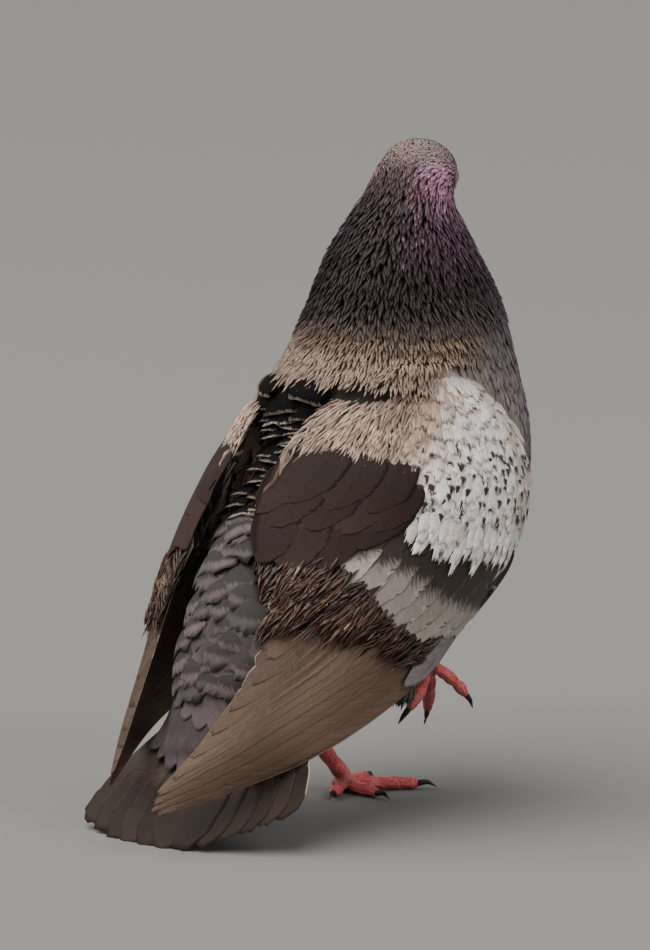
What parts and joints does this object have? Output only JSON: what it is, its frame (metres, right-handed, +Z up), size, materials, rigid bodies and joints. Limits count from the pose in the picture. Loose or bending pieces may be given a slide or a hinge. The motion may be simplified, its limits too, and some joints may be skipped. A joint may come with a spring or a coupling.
{
  "type": "pigeon figure",
  "caption": "Life-size still model of a feral rock pigeon seen walking away, head up and turned, one foot lifted, the tail resting on the floor.",
  "frame": {"origin": "on the floor under the middle of the bird's box", "axes": "+Z up, the bird faces -Y, its right side is towards -X"},
  "size_m": [0.129, 0.213, 0.2615],
  "materials": {
    "head_feathers": "short grey-brown feathers",
    "neck_feathers": "dark pointed feathers with a purple sheen",
    "body_feathers": "grey-brown body feathers",
    "rump_feathers": "lilac-grey scalloped feathers",
    "tail_feathers": "grey-brown tail feathers",
    "wing_shield": "pale wing coverts with brown specks",
    "wing_secondaries": "dark wing bar and secondaries",
    "wing_primaries": "brown flight feathers",
    "leg_skin": "scaly coral-red skin",
    "claw_horn": "dark horn",
    "bill_horn": "dark horn, satin",
    "cere_skin": "chalky white cere",
    "eye": "wet orange iris with a dark pupil"
  },
  "bodies": {
    "root": {"bill_lower": "bill_horn", "bill_upper": "bill_horn", "cere": "cere_skin", "claw_left_hallux": "claw_horn", "claw_left_inner": "claw_horn", "claw_left_middle": "claw_horn", "claw_left_outer": "claw_horn", "claw_right_hallux": "claw_horn", "claw_right_inner": "claw_horn", "claw_right_middle": "claw_horn", "claw_right_outer": "claw_horn", "eye_left": "eye", "eye_right": "eye", "foot_pad_left": "leg_skin", "foot_pad_right": "leg_skin", "head": "head_feathers", "neck": "neck_feathers", "rump": "rump_feathers", "shank_left": "leg_skin", "shank_right": "leg_skin", "tail": "tail_feathers", "thigh_left": "body_feathers", "thigh_right": "body_feathers", "toe_left_hallux": "leg_skin", "toe_left_inner": "leg_skin", "toe_left_middle": "leg_skin", "toe_left_outer": "leg_skin", "toe_right_hallux": "leg_skin", "toe_right_inner": "leg_skin", "toe_right_middle": "leg_skin", "toe_right_outer": "leg_skin", "trunk": "body_feathers", "wing_left_primaries": "wing_primaries", "wing_left_secondaries": "wing_secondaries", "wing_left_shield": "wing_shield", "wing_right_primaries": "wing_primaries", "wing_right_secondaries": "wing_secondaries", "wing_right_shield": "wing_shield"}
  },
  "joints": []
}
